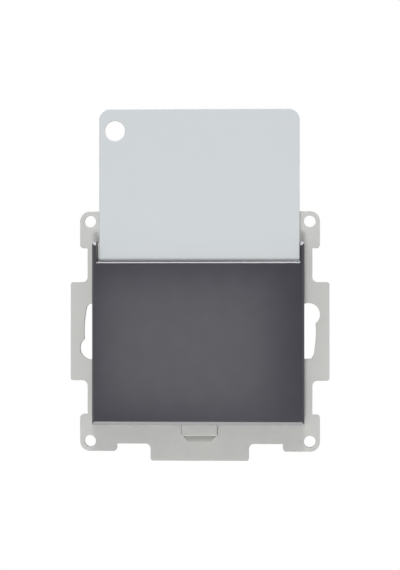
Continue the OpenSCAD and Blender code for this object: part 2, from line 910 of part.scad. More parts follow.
module blade_spring() {
    y_blade = blade_y + (blade_drop - blade_spring_low)*tan(blade_lean)
        + blade_t/2/cos(blade_lean) + blade_spring_d/2*tan(blade_lean);
    color("silver")
        translate([0, y_blade + touch, -blade_spring_low])
            rotate([-90, 0, 0])
                coil(blade_spring_d, blade_spring_turns, y_chamber - seat - y_blade - touch,
                    blade_wire);
}

// Terminal brackets

module tag_hole(t) {
    bar_y(term_screw_d + 2*slack, y_tag - cut, y_tag_back + cut, t[0], t[1]);
}

module common_bracket() {
    t = terminals[2];
    ear_up = eye_d/2;
    color("goldenrod")
        difference() {
            union() {
                span([-tag_w/2, y_tag, t[1] - saddle_h/2],
                    [tag_w/2, y_tag_back, -blade_drop]);
                span([-ear_x - bracket_t, y_tag, -blade_drop - ear_up],
                    [ear_x + bracket_t, y_tag_back, -blade_drop + ear_up]);
                for (s = [-1, 1])
                    translate([s*(ear_x + bracket_t/2), 0, 0]) {
                        span([-bracket_t/2, blade_y, -blade_drop - ear_up],
                            [bracket_t/2, y_tag_back, -blade_drop + ear_up]);
                        bar_x(2*ear_up, bracket_t, blade_y, -blade_drop);
                    }
            }
            tag_hole(t);
            bar_x(blade_pin_d + 2*slack, 2*(eye_w + tag_w), blade_y, -blade_drop);
        }
}

module make_bracket() {
    t = terminals[0];
    rim = rivet_d/2 + rivet_rim;
    color("goldenrod")
        difference() {
            union() {
                span([t[0] - tag_w/2, y_tag, contact_z - rim],
                    [t[0] + tag_w/2, y_tag_back, t[1] + saddle_h/2]);
                span([t[0], y_tag, contact_z - rim],
                    [rim, y_tag_back, contact_z + rim]);
            }
            tag_hole(t);
            bar_y(rivet_shank_d + 2*slack, y_tag - cut, y_tag_back + cut, 0, contact_z);
        }
}

module break_bracket() {
    t = terminals[1];
    rim = rivet_d/2 + rivet_rim;
    leg = chamber_top - seat - bracket_t;
    color("goldenrod")
        difference() {
            union() {
                span([t[0] - tag_w/2, y_tag, leg],
                    [t[0] + tag_w/2, y_tag_back, t[1] + saddle_h/2]);
                span([t[0] - tag_w/2, y_break_plate - bracket_t, leg],
                    [t[0] + tag_w/2, y_tag_back, leg + bracket_t]);
                span([-rim, y_break_plate - bracket_t, contact_z - rim],
                    [t[0] + tag_w/2, y_break_plate, leg + bracket_t]);
            }
            tag_hole(t);
            bar_y(rivet_shank_d + 2*slack, y_break_plate - bracket_t - cut, y_break_plate + cut, 0,
                contact_z);
        }
}

module fixed_contacts() {
    color("silver") {
        bar_y(rivet_d, y_make, y_make_plate - seat/2, 0, contact_z);
        bar_y(rivet_shank_d, y_make + weld, y_tag_back, 0, contact_z);
        bar_y(rivet_d, y_break_plate + seat/2, y_break, 0, contact_z);
        bar_y(rivet_shank_d, y_break_plate - bracket_t, y_break - weld, 0, contact_z);
    }
}

// Terminal saddles and screws

module terminal_saddles() {
    color("silver")
        for (t = terminals)
            difference() {
                span([t[0] - tag_w/2, y_saddle, t[1] - saddle_h/2],
                    [t[0] + tag_w/2, y_saddle + saddle_t, t[1] + saddle_h/2]);
                bar_y(term_screw_d + 2*slack, y_saddle - cut, y_saddle + saddle_t + cut, t[0], t[1]);
                // Grooves that hold the wires
                for (s = [-1, 1])
                    translate([t[0] + s*tag_w*0.36, y_saddle - saddle_t*0.2, t[1] - saddle_h])
                        cylinder(d = saddle_t, h = 2*saddle_h);
            }
}

module terminal_screws() {
    color("silver")
        for (t = terminals)
            difference() {
                union() {
                    bar_y(term_head_d, y_term_head, y_term_head + term_head_h, t[0], t[1]);
                    bar_y(term_screw_d, y_term_head - term_screw_len, y_term_head + weld, t[0], t[1]);
                }
                span([t[0] - term_head_d, y_term_head + term_head_h/2, t[1] - term_slot/2],
                    [t[0] + term_head_d, y_term_head + term_head_h + cut, t[1] + term_slot/2]);
            }
}

mounting_plate();
front_cover();
card_guide();
key_card();
sensing_lever();
lever_pin();
plunger();
plunger_spring();
retaining_clip();
switch_lid();
switch_base();
base_screws();
contact_blade();
blade_contacts();
blade_pin();
blade_spring();
common_bracket();
make_bracket();
break_bracket();
fixed_contacts();
terminal_saddles();
terminal_screws();
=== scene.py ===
"""Hotel key card switch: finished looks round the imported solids, laid out as an add-on."""

import json
import math

import bpy
from bpy.props import FloatProperty, FloatVectorProperty, IntProperty, PointerProperty
from mathutils import Matrix, Vector


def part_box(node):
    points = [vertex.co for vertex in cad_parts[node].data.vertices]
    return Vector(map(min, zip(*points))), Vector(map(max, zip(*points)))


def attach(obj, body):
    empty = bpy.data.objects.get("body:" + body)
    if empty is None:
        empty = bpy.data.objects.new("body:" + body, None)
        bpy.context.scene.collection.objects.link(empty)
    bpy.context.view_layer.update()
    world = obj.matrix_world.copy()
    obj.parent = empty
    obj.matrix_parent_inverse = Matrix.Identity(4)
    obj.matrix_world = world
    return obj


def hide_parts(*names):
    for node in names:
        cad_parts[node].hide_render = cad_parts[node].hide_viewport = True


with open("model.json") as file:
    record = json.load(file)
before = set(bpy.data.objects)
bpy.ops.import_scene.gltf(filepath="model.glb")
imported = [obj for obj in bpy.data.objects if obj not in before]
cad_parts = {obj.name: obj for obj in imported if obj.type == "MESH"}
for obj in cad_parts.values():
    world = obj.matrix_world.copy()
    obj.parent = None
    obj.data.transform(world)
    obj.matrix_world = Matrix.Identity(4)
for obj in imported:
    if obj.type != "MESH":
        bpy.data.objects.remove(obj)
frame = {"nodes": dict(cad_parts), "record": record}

bl_info = {
    "name": "Key card switch",
    "version": (1, 0, 0),
    "blender": (4, 5, 0),
    "location": "View3D > Sidebar > Key card switch",
    "description": "Builds the finished pieces of a hotel key card switch and its studio",
    "category": "Object",
}

MM = 0.001
NEAR = 0.01 * MM
NODES = frame["nodes"]
MOUNTS = {mount["name"]: mount for mount in frame["record"]["mounts"]}
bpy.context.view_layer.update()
COVER_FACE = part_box("front_cover")[0].y


def length(name, description, millimetres):
    """A size in metres with its default given in millimetres."""
    return FloatProperty(name=name, description=description, default=millimetres * MM,
                         min=0.0, precision=6, unit="LENGTH")


def colour(name, description, red, green, blue):
    """A surface colour, linear."""
    return FloatVectorProperty(name=name, description=description, size=3, min=0.0, max=1.0,
                               default=(red, green, blue), subtype="COLOR")


def place(name, description, x, y, z):
    """A point in metres."""
    return FloatVectorProperty(name=name, description=description, size=3, precision=5,
                               default=(x, y, z), subtype="TRANSLATION", unit="LENGTH")


def number(name, description, default, unit="NONE"):
    """A number that isn't negative."""
    return FloatProperty(name=name, description=description, default=default, min=0.0, unit=unit)


class SwitchSizes(bpy.types.PropertyGroup):
    """Sizes of the fine forms that the solids leave out."""
    plate_edge: length("Plate edge", "Rounding of the plate's edges", 0.2)
    relief_edge: length("Relief edge", "Rounding of the rim of the relief under each clip", 0.3)
    clip_edge: length("Clip edge", "Rounding of the front of each clip", 0.35)
    cover_edge: length("Cover edge", "Rounding of the cover's edges", 0.05)
    guide_edge: length("Guide edge", "Rounding of the guide's edges", 0.1)
    base_edge: length("Base edge", "Rounding of the base's edges", 0.25)
    lid_edge: length("Lid edge", "Rounding of the lid's edges", 0.15)
    lever_edge: length("Lever edge", "Rounding of the edges of lever and plunger", 0.12)
    strip_edge: length("Strip edge", "Rounding of the edges of strip, rivets and saddles", 0.06)
    pin_edge: length("Pin edge", "Rounding of the ends of the pins", 0.12)
    card_edge: length("Card edge", "Rounding of the card's edges", 0.16)
    card_corner: length("Card corner", "Radius of the card's corners", 3.0)
    return_wire: length("Return spring wire", "Wire of the plunger's spring", 0.5)
    return_turns: number("Return spring turns", "Turns of the plunger's spring", 4.0)
    blade_wire: length("Blade spring wire", "Wire of the blade's spring", 0.4)
    blade_turns: number("Blade spring turns", "Turns of the blade's spring", 3.0)
    spring_points: IntProperty(name="Spring points", description="Points on each turn of a spring",
                               default=40, min=12, max=96)
    thread_pitch: length("Thread pitch", "Pitch of the screw threads", 0.6)


class SwitchColours(bpy.types.PropertyGroup):
    """Colours of the finishes."""
    plate: colour("Plate", "Light grey moulded plastic", 0.585, 0.585, 0.565)
    cover: colour("Cover", "Anthracite satin plastic", 0.0525, 0.0497, 0.0637)
    card: colour("Card", "Pale card", 0.655, 0.69, 0.71)
    guide: colour("Guide", "Light grey moulded plastic", 0.47, 0.47, 0.452)
    lever: colour("Lever", "Natural acetal", 0.74, 0.72, 0.65)
    base: colour("Base", "Light grey switch plastic", 0.57, 0.57, 0.54)
    steel: colour("Steel", "Zinc plated steel", 0.58, 0.59, 0.6)
    brass: colour("Brass", "Stamped brass", 0.74, 0.56, 0.27)
    silver: colour("Silver", "Contact silver", 0.82, 0.82, 0.79)


class StudioSettings(bpy.types.PropertyGroup):
    """Camera and light."""
    camera_place: place("Camera place", "Where the camera stands", 0.02115, -0.4805, 0.0129)
    camera_aim: place("Camera aim", "What the camera looks at", 0.0, 0.0, 0.0127)
    lens: number("Lens", "Focal length in millimetres", 110.35, "CAMERA")
    floor_height: FloatProperty(name="Floor height", description="Height of the floor",
                                default=-0.6, unit="LENGTH")
    ambient: number("Ambient", "Strength of the light from all round", 0.22)
    key_light: number("Key light", "Softbox in front and above", 1.6, "POWER")
    back_light: number("Back light", "Each softbox behind and beside", 1.2, "POWER")
    front_light: number("Front light", "Softbox in front and below", 1.27, "POWER")
    top_light: number("Top light", "Softbox straight above", 1.26, "POWER")
    low_light: number("Low light", "Softbox straight below", 0.25, "POWER")
    fill_light: number("Fill light", "Small lamp beside the camera", 0.155, "POWER")


# Modelling

# Points closer than the weld become one, and faces that turn less than FLAT become one face
WELD = 2e-6
FLAT = math.radians(0.4)
# Edges that turn more than SHARP are rounded
SHARP = math.radians(28.0)
FLAT_WEIGHT = 80


def rest_mode():
    """Leaves edit mode and deselects everything."""
    if bpy.context.object and bpy.context.object.mode != "OBJECT":
        bpy.ops.object.mode_set(mode="OBJECT")
    bpy.ops.object.select_all(action="DESELECT")


def take(obj):
    """Makes obj the only selected and the active object."""
    rest_mode()
    obj.select_set(True)
    bpy.context.view_layer.objects.active = obj


def edit(obj):
    """Opens obj in edit mode with everything selected."""
    take(obj)
    bpy.ops.object.mode_set(mode="EDIT")
    bpy.ops.mesh.select_all(action="SELECT")


def new_object(name, data):
    """A new object in the scene."""
    obj = bpy.data.objects.new(name, data)
    bpy.context.scene.collection.objects.link(obj)
    return obj


def added(name):
    """Names the primitive that was just added."""
    obj = bpy.context.object
    obj.name = name
    obj.data.name = name
    return obj


def settle(obj):
    """Moves an object's place, turn and scale into its mesh."""
    take(obj)
    bpy.ops.object.transform_apply(location=True, rotation=True, scale=True)
    return obj


def pick_edges(obj, wanted):
    """Selects the edges of obj, in edit mode, whose two ends satisfy wanted."""
    bpy.ops.mesh.select_mode(type="EDGE")
    bpy.ops.mesh.select_all(action="DESELECT")
    bpy.ops.object.mode_set(mode="OBJECT")
    points = obj.data.vertices
    for edge in obj.data.edges:
        a, b = (points[i].co for i in edge.vertices)
        edge.select = wanted(a, b)
    bpy.ops.object.mode_set(mode="EDIT")


def apply_modifier(obj, kind, **settings):
    """Adds a modifier, sets it up and applies it."""
    take(obj)
    modifier = obj.modifiers.new(kind.title(), kind)
    for key, value in settings.items():
        setattr(modifier, key, value)
    bpy.ops.object.modifier_apply(modifier=modifier.name)


def soften(obj, width, segments):
    """Rounds the sharp edges of obj and shades it so that its flats stay flat."""
    apply_modifier(obj, "BEVEL", width=width, segments=segments, limit_method="ANGLE",
                   angle_limit=SHARP, use_clamp_overlap=True, miter_outer="MITER_SHARP")
    take(obj)
    bpy.ops.object.shade_smooth()
    apply_modifier(obj, "WEIGHTED_NORMAL", weight=FLAT_WEIGHT, keep_sharp=False)


def cut(obj, cutter):
    """Takes the cutter's form out of obj and deletes the cutter."""
    apply_modifier(obj, "BOOLEAN", object=cutter, operation="DIFFERENCE", solver="EXACT")
    bpy.data.objects.remove(cutter)


def copy_of(node, name, weld=WELD):
    """A clean copy of a solid: welded, with its flats as single faces."""
    obj = new_object(name, NODES[node].data.copy())
    obj.data.name = name
    take(obj)
    bpy.ops.mesh.customdata_custom_splitnormals_clear()
    edit(obj)
    bpy.ops.mesh.remove_doubles(threshold=weld)
    bpy.ops.mesh.dissolve_limited(angle_limit=FLAT)
    bpy.ops.object.mode_set(mode="OBJECT")
    return obj


def stand_for(obj, node, body, slot):
    """Gives a finished piece its material and puts it in the place of its solid."""
    obj.data.materials.clear()
    obj.data.materials.append(finishes()[slot])
    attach(obj, body)
    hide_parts(node)


def finished(node, name, body, slot, edge, segments=2, weld=WELD):
    """A solid with its edges rounded and in its finish."""
    obj = copy_of(node, name, weld)
    soften(obj, edge, segments)
    stand_for(obj, node, body, slot)
    return obj


# Finishes

# Noise lies mostly between these two values
NOISE_LOW = 0.3
NOISE_HIGH = 0.7

# Patches of sheen to each cloud of a moulded plastic, and its coarse grain to its fine one
SHEEN_PATCHES = 3.0
SHEEN_SHIFT = 0.4
COARSE_GRAIN = 0.22

# The cover's specular levels, roughnesses, and where its bevels end behind its face
FACE_GLOSS = 0.117
EDGE_GLOSS = 0.5
BEVEL_ROUGHNESS = 0.122
WALL_ROUGHNESS = 0.36
BEVEL_END = COVER_FACE + 1.05 * MM
WALL_START = COVER_FACE + 1.2 * MM


class Finish:
    """A material under construction, patterned on Object coordinates."""

    def __init__(self, name, roughness, **sockets):
        self.material = bpy.data.materials.new(name)
        self.material.use_nodes = True
        self.nodes = self.material.node_tree.nodes
        self.links = self.material.node_tree.links
        self.shader = self.nodes["Principled BSDF"]
        self.shader.inputs["Roughness"].default_value = roughness
        for socket, value in sockets.items():
            self.shader.inputs[socket.replace("_", " ")].default_value = value
        self.coordinates = self.nodes.new("ShaderNodeTexCoord").outputs["Object"]

    def noise(self, scale, detail, stretch=(1.0, 1.0, 1.0), shift=0.0):
        """Cloudy noise with scale features to a metre, drawn out along an axis by stretch."""
        mapping = self.nodes.new("ShaderNodeMapping")
        mapping.inputs["Location"].default_value = (shift, shift, shift)
        mapping.inputs["Scale"].default_value = stretch
        texture = self.nodes.new("ShaderNodeTexNoise")
        texture.inputs["Scale"].default_value = scale
        texture.inputs["Detail"].default_value = detail
        self.links.new(self.coordinates, mapping.inputs["Vector"])
        self.links.new(mapping.outputs["Vector"], texture.inputs["Vector"])
        return texture.outputs["Fac"]

    def tint(self, factor, base, darker, lighter):
        """Base colour that a pattern makes darker and lighter by these shares."""
        ramp = self.nodes.new("ShaderNodeValToRGB")
        low, high = ramp.color_ramp.elements
        low.position = NOISE_LOW
        low.color = (*shaded(base, 1.0 - darker), 1.0)
        high.position = NOISE_HIGH
        high.color = (*shaded(base, 1.0 + lighter), 1.0)
        self.links.new(factor, ramp.inputs["Fac"])
        self.links.new(ramp.outputs["Color"], self.shader.inputs["Base Color"])

    def roughen(self, factor, low, high, start=NOISE_LOW, end=NOISE_HIGH):
        """Roughness that goes from low to high as a pattern goes from start to end."""
        span = self.nodes.new("ShaderNodeMapRange")
        for name, value in (("From Min", start), ("From Max", end),
                            ("To Min", low), ("To Max", high)):
            span.inputs[name].default_value = value
        self.links.new(factor, span.inputs["Value"])
        self.links.new(span.outputs["Result"], self.shader.inputs["Roughness"])

    def depth(self):
        """Place from front to back, in metres."""
        split = self.nodes.new("ShaderNodeSeparateXYZ")
        self.links.new(self.coordinates, split.inputs["Vector"])
        return split.outputs["Y"]

    def grain(self, height, *layers):
        """Bump from patterns, each of this height in metres."""
        normal = None
        for factor in layers:
            bump = self.nodes.new("ShaderNodeBump")
            bump.inputs["Strength"].default_value = 1.0
            bump.inputs["Distance"].default_value = height
            self.links.new(factor, bump.inputs["Height"])
            if normal is not None:
                self.links.new(normal, bump.inputs["Normal"])
            normal = bump.outputs["Normal"]
        self.links.new(normal, self.shader.inputs["Normal"])


def shaded(base, factor):
    """A colour made lighter or darker."""
    return tuple(min(1.0, channel * factor) for channel in base)


def moulded(name, base, roughness, spread=0.02, cloud=160.0, grain=7000.0, height=6e-6, sheen=0.05):
    """Moulded plastic: faint clouds of colour, uneven sheen and a fine eroded grain."""
    finish = Finish(name, roughness)
    finish.tint(finish.noise(cloud, detail=4.0), base, spread, spread)
    finish.roughen(finish.noise(cloud * SHEEN_PATCHES, detail=3.0, shift=SHEEN_SHIFT),
                   roughness - sheen, roughness + sheen)
    finish.grain(height, finish.noise(grain, detail=3.0),
                 finish.noise(grain * COARSE_GRAIN, detail=2.0))
    return finish.material


def bevelled(name, base, gloss, spread=0.05, cloud=210.0, grain=9000.0, coarse=2000.0,
             height=1.6e-6):
    """Moulded plastic: polished down to the foot of its bevels, satin on the walls behind."""
    finish = Finish(name, BEVEL_ROUGHNESS, Specular_IOR_Level=gloss)
    finish.tint(finish.noise(cloud, detail=4.0), base, spread, spread)
    finish.roughen(finish.depth(), BEVEL_ROUGHNESS, WALL_ROUGHNESS, BEVEL_END, WALL_START)
    finish.grain(height, finish.noise(grain, detail=3.0), finish.noise(coarse, detail=2.0))
    return finish.material


def metal(name, base, roughness, stretch, tarnish=0.1, bright=0.4, cloud=420.0, polish=0.06,
          wear=0.1, lines=9000.0, height=1.5e-6):
    """Metal: drawn-out brush lines, cloudy tarnish and uneven gloss."""
    finish = Finish(name, roughness, Metallic=1.0)
    finish.tint(finish.noise(cloud, detail=5.0), base, tarnish, tarnish * bright)
    brush = finish.noise(lines, detail=3.0, stretch=stretch)
    finish.roughen(brush, roughness - polish, roughness + wear)
    finish.grain(height, brush)
    return finish.material


MADE = {}


def finishes():
    """All finishes by the name of their material slot, and the cover's face, made once."""
    if not MADE:
        colours = bpy.context.scene.switch_colours
        MADE.update(
            plate_plastic=moulded("grey_moulded", colours.plate, roughness=0.52, spread=0.012),
            cover_plastic=bevelled("anthracite_satin", colours.cover, EDGE_GLOSS),
            cover_face=bevelled("anthracite_face", colours.cover, FACE_GLOSS),
            guide_plastic=moulded("guide_moulded", colours.guide, roughness=0.5),
            lever_plastic=moulded("natural_acetal", colours.lever, roughness=0.38, spread=0.015,
                                  grain=3000.0, height=2e-6),
            base_plastic=moulded("switch_grey", colours.base, roughness=0.46, cloud=240.0,
                                 height=4e-6),
            card_plastic=moulded("pale_card", colours.card, roughness=0.5, spread=0.006,
                                 cloud=60.0, grain=2500.0, height=1e-6, sheen=0.03),
            steel=metal("zinc_steel", colours.steel, roughness=0.3, stretch=(1.0, 0.06, 1.0)),
            brass=metal("stamped_brass", colours.brass, roughness=0.26, stretch=(1.0, 1.0, 0.05),
                        tarnish=0.16),
            silver=metal("contact_silver", colours.silver, roughness=0.3, stretch=(1.0, 1.0, 1.0),
                         tarnish=0.08),
        )
    return MADE


# Pieces

# Where the rims of the two reliefs lie on the plate: half their width, and how far out
RELIEF_HALF = 4.8 * MM
RELIEF_INNER = 25.0 * MM
RELIEF_OUTER = 34.0 * MM
CLIP_STEPS = 4

# Depth of what still counts as the cover's face
FACE_SKIN = 0.02 * MM

CARD_CORNER_STEPS = 14
PUNCH_STEPS = 72
PUNCH_LENGTH = 4.0 * MM

# The fine facets of the lever's hub are merged
LEVER_WELD = 0.09 * MM

# Steps of the rounding of edges that are seen from outside
OUTER_STEPS = 3


class KEYCARD_OT_plate(bpy.types.Operator):
    """Mounting plate with its moulded edges"""
    bl_idname = "keycard.plate"
    bl_label = "Mounting plate"

    def execute(self, context):
        sizes = context.scene.switch_sizes
        front = MOUNTS["frame_seat"]["pos_m"][1]
        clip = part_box("mounting_plate")[0].y + NEAR
        points = NODES["mounting_plate"].data.vertices
        top = min(abs(p.co.z) for p in points if p.co.y < clip) + NEAR

        def on_rim(point):
            return (abs(point.y - front) < NEAR and abs(point.x) < RELIEF_HALF
                    and RELIEF_INNER < abs(point.z) < RELIEF_OUTER)

        def on_clip(a, b):
            return max(a.y, b.y) < clip and max(abs(a.z), abs(b.z)) > top

        plate = copy_of("mounting_plate", "plate")
        edit(plate)
        for wanted, edge in ((lambda a, b: on_rim(a) and on_rim(b), sizes.relief_edge),
                             (on_clip, sizes.clip_edge)):
            pick_edges(plate, wanted)
            bpy.ops.mesh.bevel(offset=edge, segments=CLIP_STEPS, affect="EDGES",
                               clamp_overlap=True)
        soften(plate, sizes.plate_edge, OUTER_STEPS)
        stand_for(plate, "mounting_plate", "housing", "plate_plastic")
        return {"FINISHED"}


class KEYCARD_OT_cover(bpy.types.Operator):
    """Cover with the card notch"""
    bl_idname = "keycard.cover"
    bl_label = "Cover"

    def execute(self, context):
        cover = finished("front_cover", "cover", "housing", "cover_plastic",
                         context.scene.switch_sizes.cover_edge, OUTER_STEPS)
        cover.data.materials.append(finishes()["cover_face"])
        for face in cover.data.polygons:
            face.material_index = 1 if face.center.y < COVER_FACE + FACE_SKIN else 0
        return {"FINISHED"}


class KEYCARD_OT_card(bpy.types.Operator):
    """Card with rounded corners and its punched hole"""
    bl_idname = "keycard.card"
    bl_label = "Card"

    def execute(self, context):
        sizes = context.scene.switch_sizes
        low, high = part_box("key_card")
        rest_mode()
        bpy.ops.mesh.primitive_cube_add(size=1.0, location=(low + high) / 2)
        card = added("card")
        card.scale = high - low
        settle(card)
        edit(card)
        pick_edges(card, lambda a, b: abs(a.y - b.y) > (high.y - low.y) / 2)
        bpy.ops.mesh.bevel(offset=sizes.card_corner, segments=CARD_CORNER_STEPS, affect="EDGES")
        rest_mode()
        hole = MOUNTS["card_ring_hole"]
        bpy.ops.mesh.primitive_cylinder_add(vertices=PUNCH_STEPS, radius=hole["dims"]["r_mm"] * MM,
                                            depth=PUNCH_LENGTH, location=hole["pos_m"],
                                            rotation=(math.pi / 2, 0.0, 0.0))
        cut(card, settle(added("punch")))
        soften(card, sizes.card_edge, OUTER_STEPS)
        stand_for(card, "key_card", "card", "card_plastic")
        return {"FINISHED"}


class KEYCARD_OT_guide(bpy.types.Operator):
    """Guide behind the card"""
    bl_idname = "keycard.guide"
    bl_label = "Card guide"

    def execute(self, context):
        finished("card_guide", "guide", "housing", "guide_plastic",
                 context.scene.switch_sizes.guide_edge)
        return {"FINISHED"}


class KEYCARD_OT_lever(bpy.types.Operator):
    """Sensing lever and plunger"""
    bl_idname = "keycard.lever"
    bl_label = "Lever and plunger"

    def execute(self, context):
        edge = context.scene.switch_sizes.lever_edge
        finished("sensing_lever", "lever", "lever", "lever_plastic", edge, weld=LEVER_WELD)
        finished("plunger", "button", "plunger", "lever_plastic", edge)
        return {"FINISHED"}


class KEYCARD_OT_base(bpy.types.Operator):
    """Switch base and lid"""
    bl_idname = "keycard.base"
    bl_label = "Switch base"

    def execute(self, context):
        sizes = context.scene.switch_sizes
        finished("switch_base", "base", "housing", "base_plastic", sizes.base_edge, OUTER_STEPS)
        finished("switch_lid", "lid", "housing", "base_plastic", sizes.lid_edge)
        return {"FINISHED"}


# Solid, piece, body and material slot of what is stamped, riveted or turned
STRIPS = (
    ("contact_blade", "blade", "blade", "brass"),
    ("common_bracket", "common_strip", "housing", "brass"),
    ("make_bracket", "make_strip", "housing", "brass"),
    ("break_bracket", "break_strip", "housing", "brass"),
    ("blade_contacts", "blade_rivets", "blade", "silver"),
    ("fixed_contacts", "fixed_rivets", "housing", "silver"),
    ("retaining_clip", "stop_ring", "plunger", "steel"),
    ("terminal_saddles", "saddles", "housing", "steel"),
)
PINS = (
    ("lever_pin", "lever_axle", "housing", "steel"),
    ("blade_pin", "blade_axle", "housing", "steel"),
)


class KEYCARD_OT_contacts(bpy.types.Operator):
    """Brass, silver and steel of the contact chamber, and the two pins"""
    bl_idname = "keycard.contacts"
    bl_label = "Contacts"

    def execute(self, context):
        sizes = context.scene.switch_sizes
        for rows, edge in ((STRIPS, sizes.strip_edge), (PINS, sizes.pin_edge)):
            for node, name, body, slot in rows:
                finished(node, name, body, slot, edge)
        return {"FINISHED"}


# Steps of a quarter of the wire's outline, the weld of its seams, and its shading
WIRE_STEPS = 5
WIRE_WELD = 1e-7
WIRE_CREASE = math.radians(50)


def spring(name, node, wire, turns, points):
    """A round-wire spring along Y, with capped ends, in the room of its solid."""
    low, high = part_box(node)
    middle = (low + high) / 2
    radius = (high.x - low.x - wire) / 2
    reach = high.y - low.y - wire
    count = int(round(turns * points))
    line = bpy.data.curves.new(name, "CURVE")
    line.dimensions = "3D"
    line.bevel_depth = wire / 2
    line.bevel_resolution = WIRE_STEPS
    line.use_fill_caps = True
    path = line.splines.new("POLY")
    path.points.add(count)
    for i, point in enumerate(path.points):
        share = i / count
        turn = 2 * math.pi * turns * share
        point.co = (middle.x + radius * math.cos(turn), low.y + wire / 2 + reach * share,
                    middle.z - radius * math.sin(turn), 1.0)
    take(new_object(name, line))
    bpy.ops.object.convert(target="MESH")
    obj = bpy.context.object
    edit(obj)
    bpy.ops.mesh.remove_doubles(threshold=WIRE_WELD)
    bpy.ops.mesh.normals_make_consistent(inside=False)
    take(obj)
    bpy.ops.object.shade_smooth_by_angle(angle=WIRE_CREASE)
    return obj


class KEYCARD_OT_springs(bpy.types.Operator):
    """Return spring of the plunger and spring of the blade"""
    bl_idname = "keycard.springs"
    bl_label = "Springs"

    def execute(self, context):
        sizes = context.scene.switch_sizes
        for name, node, wire, turns in (
                ("return_spring", "plunger_spring", sizes.return_wire, sizes.return_turns),
                ("contact_spring", "blade_spring", sizes.blade_wire, sizes.blade_turns)):
            coil = spring(name, node, wire, turns, sizes.spring_points)
            stand_for(coil, node, "housing", "steel")
        return {"FINISHED"}


# Name, shank, height of the head, whether the head is in front, turn of the first cross, and
# how much further each next one is turned
SCREWS = (
    ("terminal_screw", 2.9 * MM, 2.0 * MM, False, 0.4, 0.9),
    ("base_screw", 2.4 * MM, 1.6 * MM, True, 0.2, 0.7),
)
SCREW_STEPS = 36
SCREW_CREASE = math.radians(32)
# Radius of the tip and of the thread's root, to the diameter of the shank
TIP = 0.4
ROOT = 0.41
# Lengths along the thread, to its pitch
LEAD = 0.25
FLANK = 0.42
CREST_FLAT = 0.12
ROOT_FLAT = 0.04
# Rings of the head: share of its height, and size to the ring before
HEAD_RINGS = ((0.72, 1.0), (0.18, 0.95), (0.1, 0.86))
# The two cuts of the cross, across and along, to the head's diameter, and their height to its own
CROSS = ((0.17, 1.2), (0.62, 0.17))
CROSS_HEIGHT = 1.1
# Solids whose boxes are this close are one
TOUCH = 1e-6


def ring_step(depth, scale=1.0):
    """Extrudes the selected end face by depth along Y and resizes it."""
    bpy.ops.mesh.extrude_region_move(TRANSFORM_OT_translate={"value": (0.0, depth, 0.0)})
    if scale != 1.0:
        bpy.ops.transform.resize(value=(scale, 1.0, scale))


def screw(name, shank, reach, head, height, pitch):
    """A cross-slotted pan-head screw along Y: tip at -reach, seat of the head at 0."""
    tip, root, crest = shank * TIP, shank * ROOT, shank / 2
    rest_mode()
    bpy.ops.mesh.primitive_circle_add(vertices=SCREW_STEPS, radius=tip, fill_type="NGON",
                                      location=(0.0, -reach, 0.0),
                                      rotation=(-math.pi / 2, 0.0, 0.0))
    obj = settle(added(name))
    edit(obj)
    ring_step(LEAD * pitch, root / tip)
    turns = int((reach - pitch) / pitch)
    for _ in range(turns):
        ring_step(FLANK * pitch, crest / root)
        ring_step(CREST_FLAT * pitch)
        ring_step(FLANK * pitch, root / crest)
        ring_step(ROOT_FLAT * pitch)
    ring_step(reach - (LEAD + turns) * pitch)
    ring_step(0.0, head / 2 / root)
    for share, scale in HEAD_RINGS:
        ring_step(share * height, scale)
    bpy.ops.mesh.select_all(action="SELECT")
    bpy.ops.mesh.normals_make_consistent(inside=False)
    rest_mode()
    for across, along in CROSS:
        bpy.ops.mesh.primitive_cube_add(size=1.0, location=(0.0, height, 0.0))
        slot = added("slot")
        slot.scale = (head * along, height * CROSS_HEIGHT, head * across)
        cut(obj, settle(slot))
    take(obj)
    bpy.ops.object.shade_smooth_by_angle(angle=SCREW_CREASE)
    return obj


def solid_boxes(node):
    """Boxes of the separate solids in a node, from bottom to top, each row from left to right."""
    data = NODES[node].data
    found = []
    for face in data.polygons:
        points = [data.vertices[i].co for i in face.vertices]
        low = Vector([min(p[k] for p in points) for k in range(3)])
        high = Vector([max(p[k] for p in points) for k in range(3)])
        found.append((low, high))
    merged = True
    while merged:
        merged = False
        kept = []
        for low, high in found:
            for i, (a, b) in enumerate(kept):
                if all(low[k] <= b[k] + TOUCH and high[k] >= a[k] - TOUCH for k in range(3)):
                    kept[i] = (Vector(map(min, a, low)), Vector(map(max, b, high)))
                    merged = True
                    break
            else:
                kept.append((low, high))
        found = kept
    return sorted(found, key=lambda box: (round(box[0].z, 4), box[0].x))


class KEYCARD_OT_screws(bpy.types.Operator):
    """Screws of the base and of the terminals"""
    bl_idname = "keycard.screws"
    bl_label = "Screws"

    def execute(self, context):
        pitch = context.scene.switch_sizes.thread_pitch
        for name, shank, height, in_front, first, further in SCREWS:
            node = name + "s"
            boxes = solid_boxes(node)
            low, high = boxes[0]
            pattern = screw(name, shank, high.y - low.y - height, high.x - low.x, height, pitch)
            turn = Matrix.Rotation(math.pi, 4, "X") if in_front else Matrix.Identity(4)
            for i, (low, high) in enumerate(boxes):
                seat = low.y + height if in_front else high.y - height
                at = Vector(((low.x + high.x) / 2, seat, (low.z + high.z) / 2))
                roll = Matrix.Rotation(first + further * i, 4, "Y")
                obj = new_object(f"{name}.{i + 1}", pattern.data.copy())
                obj.data.name = obj.name
                obj.data.transform(Matrix.Translation(at) @ turn @ roll)
                stand_for(obj, node, "housing", "steel")
            bpy.data.objects.remove(pattern)
        return {"FINISHED"}


# Studio

WHITE = (1.0, 1.0, 1.0, 1.0)
PAPER = (0.7, 0.7, 0.7, 1.0)
PAPER_ROUGHNESS = 0.9
# How much of the floor's look is plain white; the rest keeps the shadow
PAPER_GLOW = 0.94
FLOOR_SIZE = 1.8
SENSOR_WIDTH = 36.0
CLIP_START = 0.01
CLIP_END = 20.0

